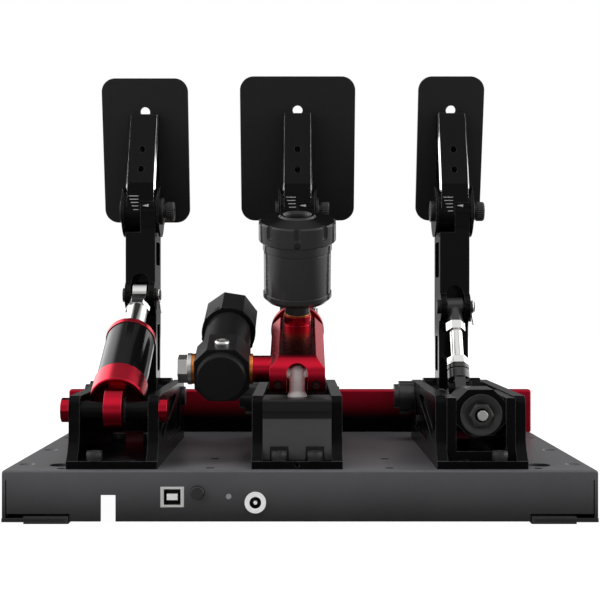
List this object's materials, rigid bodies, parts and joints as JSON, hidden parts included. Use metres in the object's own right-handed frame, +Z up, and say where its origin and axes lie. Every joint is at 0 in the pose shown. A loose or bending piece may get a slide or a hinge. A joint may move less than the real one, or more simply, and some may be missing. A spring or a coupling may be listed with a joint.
{
  "type": "sim racing pedal set",
  "caption": "Folded tray with a red heel plate and three hinged pedals: a damped clutch, a hydraulic brake with reservoir, and a throttle sprung through a link and crank.",
  "frame": {"origin": "centre of the footprint, on the floor under the rubber feet", "axes": "+X right seen from the connector side, +Y towards the driver, +Z up"},
  "size_m": [0.3066, 0.2916, 0.2548],
  "materials": {
    "tray_black": "fine satin black powder coat",
    "module_black": "satin black anodised look",
    "red_anodised": "bright red anodised aluminium",
    "gloss_black": "gloss black",
    "polished_steel": "polished steel",
    "copper": null,
    "rubber_black": "black rubber",
    "socket_silver": "nickel plated shell",
    "white_plastic": "white ring",
    "black_plastic": "black moulded plastic",
    "led_grey": "unlit diffuse lens",
    "board_green": "circuit board",
    "elastomer": "polyurethane discs"
  },
  "bodies": {
    "base": {"base_tray": "tray_black", "rubber_feet": "rubber_black", "heel_plate": "red_anodised", "control_board": "board_green", "usb_socket": "socket_silver", "power_jack": "white_plastic", "status_led": "led_grey", "module_screws": "gloss_black", "pivot_axles": "polished_steel", "angle_sensors": "black_plastic", "clutch_base_plate": "module_black", "brake_base_plate": "module_black", "throttle_base_plate": "module_black", "clutch_left_cheek": "module_black", "clutch_right_cheek": "module_black", "brake_left_cheek": "module_black", "brake_right_cheek": "module_black", "throttle_left_cheek": "module_black", "throttle_right_cheek": "module_black", "damper_cross_axle": "gloss_black", "damper_axle_bolts": "red_anodised", "brake_front_block": "module_black", "brake_eye_post": "polished_steel", "throttle_spring_frame": "module_black", "throttle_spring": "polished_steel"},
    "reset_button": {"reset_button": "black_plastic"},
    "damper_body": {"damper_eye_cap": "red_anodised", "damper_tube": "gloss_black", "damper_spring": "polished_steel"},
    "damper_ring": {"damper_top_ring": "red_anodised"},
    "damper_rod": {"damper_rod": "polished_steel"},
    "master": {"master_cylinder": "red_anodised", "reservoir": "black_plastic", "copper_washers": "copper", "hydraulic_screws": "polished_steel", "pressure_cylinder": "gloss_black", "elastomer_stack": "elastomer"},
    "reservoir_cap": {"reservoir_cap": "black_plastic"},
    "pressure_cap": {"pressure_cap": "gloss_black"},
    "push_rod": {"push_rod": "polished_steel"},
    "preload_knob": {"preload_knob": "module_black"},
    "spring_rod": {"spring_rod": "polished_steel"},
    "crank": {"throttle_crank": "module_black"},
    "link": {"link_forks": "module_black", "link_turnbuckle": "polished_steel"},
    "clutch_pedal": {"clutch_arm": "module_black", "clutch_clevis_pin": "module_black", "clutch_angle_bolt": "module_black"},
    "clutch_head": {"clutch_pad_bracket": "module_black", "clutch_pad": "tray_black"},
    "brake_pedal": {"brake_arm": "module_black", "brake_clevis_pin": "module_black", "brake_angle_bolt": "module_black"},
    "brake_head": {"brake_pad_bracket": "module_black", "brake_pad": "tray_black"},
    "throttle_pedal": {"throttle_arm": "module_black", "throttle_clevis_pin": "module_black", "throttle_angle_bolt": "module_black"},
    "throttle_head": {"throttle_pad_bracket": "module_black", "throttle_pad": "tray_black"}
  },
  "joints": [
    {"name": "clutch_press", "type": "hinge", "parent": "base", "child": "clutch_pedal", "pos_m": [-0.0975, -0.01, 0.055], "axis": [1, 0, 0], "range_deg": [0, 18], "stiffness_Nm_per_rad": 8, "springref_deg": -14.32, "deforming": ["damper_spring"]},
    {"name": "clutch_pad_angle", "type": "hinge", "parent": "clutch_pedal", "child": "clutch_head", "pos_m": [-0.0975, -0.014, 0.17], "axis": [1, 0, 0], "range_deg": [-8, 8]},
    {"name": "brake_press", "type": "hinge", "parent": "base", "child": "brake_pedal", "pos_m": [-0.0015, -0.01, 0.055], "axis": [1, 0, 0], "range_deg": [0, 10], "stiffness_Nm_per_rad": 60, "springref_deg": -14.32, "deforming": ["elastomer_stack"]},
    {"name": "brake_pad_angle", "type": "hinge", "parent": "brake_pedal", "child": "brake_head", "pos_m": [-0.0015, -0.014, 0.17], "axis": [1, 0, 0], "range_deg": [-8, 8]},
    {"name": "throttle_press", "type": "hinge", "parent": "base", "child": "throttle_pedal", "pos_m": [0.0945, -0.01, 0.055], "axis": [1, 0, 0], "range_deg": [0, 16], "stiffness_Nm_per_rad": 6, "springref_deg": -14.32, "deforming": ["throttle_spring"]},
    {"name": "throttle_pad_angle", "type": "hinge", "parent": "throttle_pedal", "child": "throttle_head", "pos_m": [0.0945, -0.014, 0.17], "axis": [1, 0, 0], "range_deg": [-8, 8]},
    {"name": "damper_swing", "type": "hinge", "parent": "base", "child": "damper_body", "pos_m": [-0.0975, -0.1277, 0.057], "axis": [1, 0, 0], "range_deg": [0, 2.01]},
    {"name": "damper_stroke", "type": "slide", "parent": "damper_body", "child": "damper_rod", "axis": [0, 0.8619, 0.507], "range_m": [-0.01982, 0]},
    {"name": "master_swing", "type": "hinge", "parent": "base", "child": "master", "pos_m": [-0.0015, -0.118, 0.076], "axis": [1, 0, 0], "range_deg": [-0.1025, 0]},
    {"name": "push_rod_stroke", "type": "slide", "parent": "master", "child": "push_rod", "axis": [0, 0.9497, 0.3132], "range_m": [-0.00938, 0]},
    {"name": "reservoir_cap_turn", "type": "hinge", "parent": "master", "child": "reservoir_cap", "pos_m": [-0.0015, -0.09052, 0.15456], "axis": [0, -0.3132, 0.9497], "continuous": true},
    {"name": "pressure_cap_turn", "type": "hinge", "parent": "master", "child": "pressure_cap", "pos_m": [-0.04175, -0.05152, 0.09792], "axis": [0, 0.9497, 0.3132], "continuous": true},
    {"name": "damper_ring_turn", "type": "hinge", "parent": "damper_body", "child": "damper_ring", "pos_m": [-0.0975, -0.06909, 0.09148], "axis": [0, 0.8619, 0.507], "continuous": true},
    {"name": "preload_knob_turn", "type": "hinge", "parent": "base", "child": "preload_knob", "pos_m": [0.0945, -0.13, 0.0551], "axis": [0, -1, 0], "continuous": true},
    {"name": "spring_rod_stroke", "type": "slide", "parent": "base", "child": "spring_rod", "axis": [0, -1, 0], "range_m": [0, 0.00539]},
    {"name": "crank_turn", "type": "hinge", "parent": "base", "child": "crank", "pos_m": [0.0945, -0.03, 0.042], "axis": [1, 0, 0], "range_deg": [0, 24.09]},
    {"name": "link_swing", "type": "hinge", "parent": "throttle_pedal", "child": "link", "pos_m": [0.0945, -0.025, 0.1108], "axis": [1, 0, 0], "range_deg": [-6.76, 0]},
    {"name": "button_press", "type": "slide", "parent": "base", "child": "reset_button", "axis": [0, 1, 0], "range_m": [0, 0.001], "stiffness_N_per_m": 400, "springref_m": -0.0005}
  ],
  "couplings": [
    {"joint": "damper_swing", "follows": "clutch_press", "ratio": 0.11168},
    {"joint": "damper_stroke", "follows": "clutch_press", "m_per_rad": -0.063082},
    {"joint": "master_swing", "follows": "brake_press", "ratio": -0.010238},
    {"joint": "push_rod_stroke", "follows": "brake_press", "m_per_rad": -0.053754},
    {"joint": "crank_turn", "follows": "throttle_press", "ratio": 1.5059},
    {"joint": "link_swing", "follows": "throttle_press", "ratio": -0.42248},
    {"joint": "spring_rod_stroke", "follows": "throttle_press", "m_per_rad": 0.019285}
  ]
}
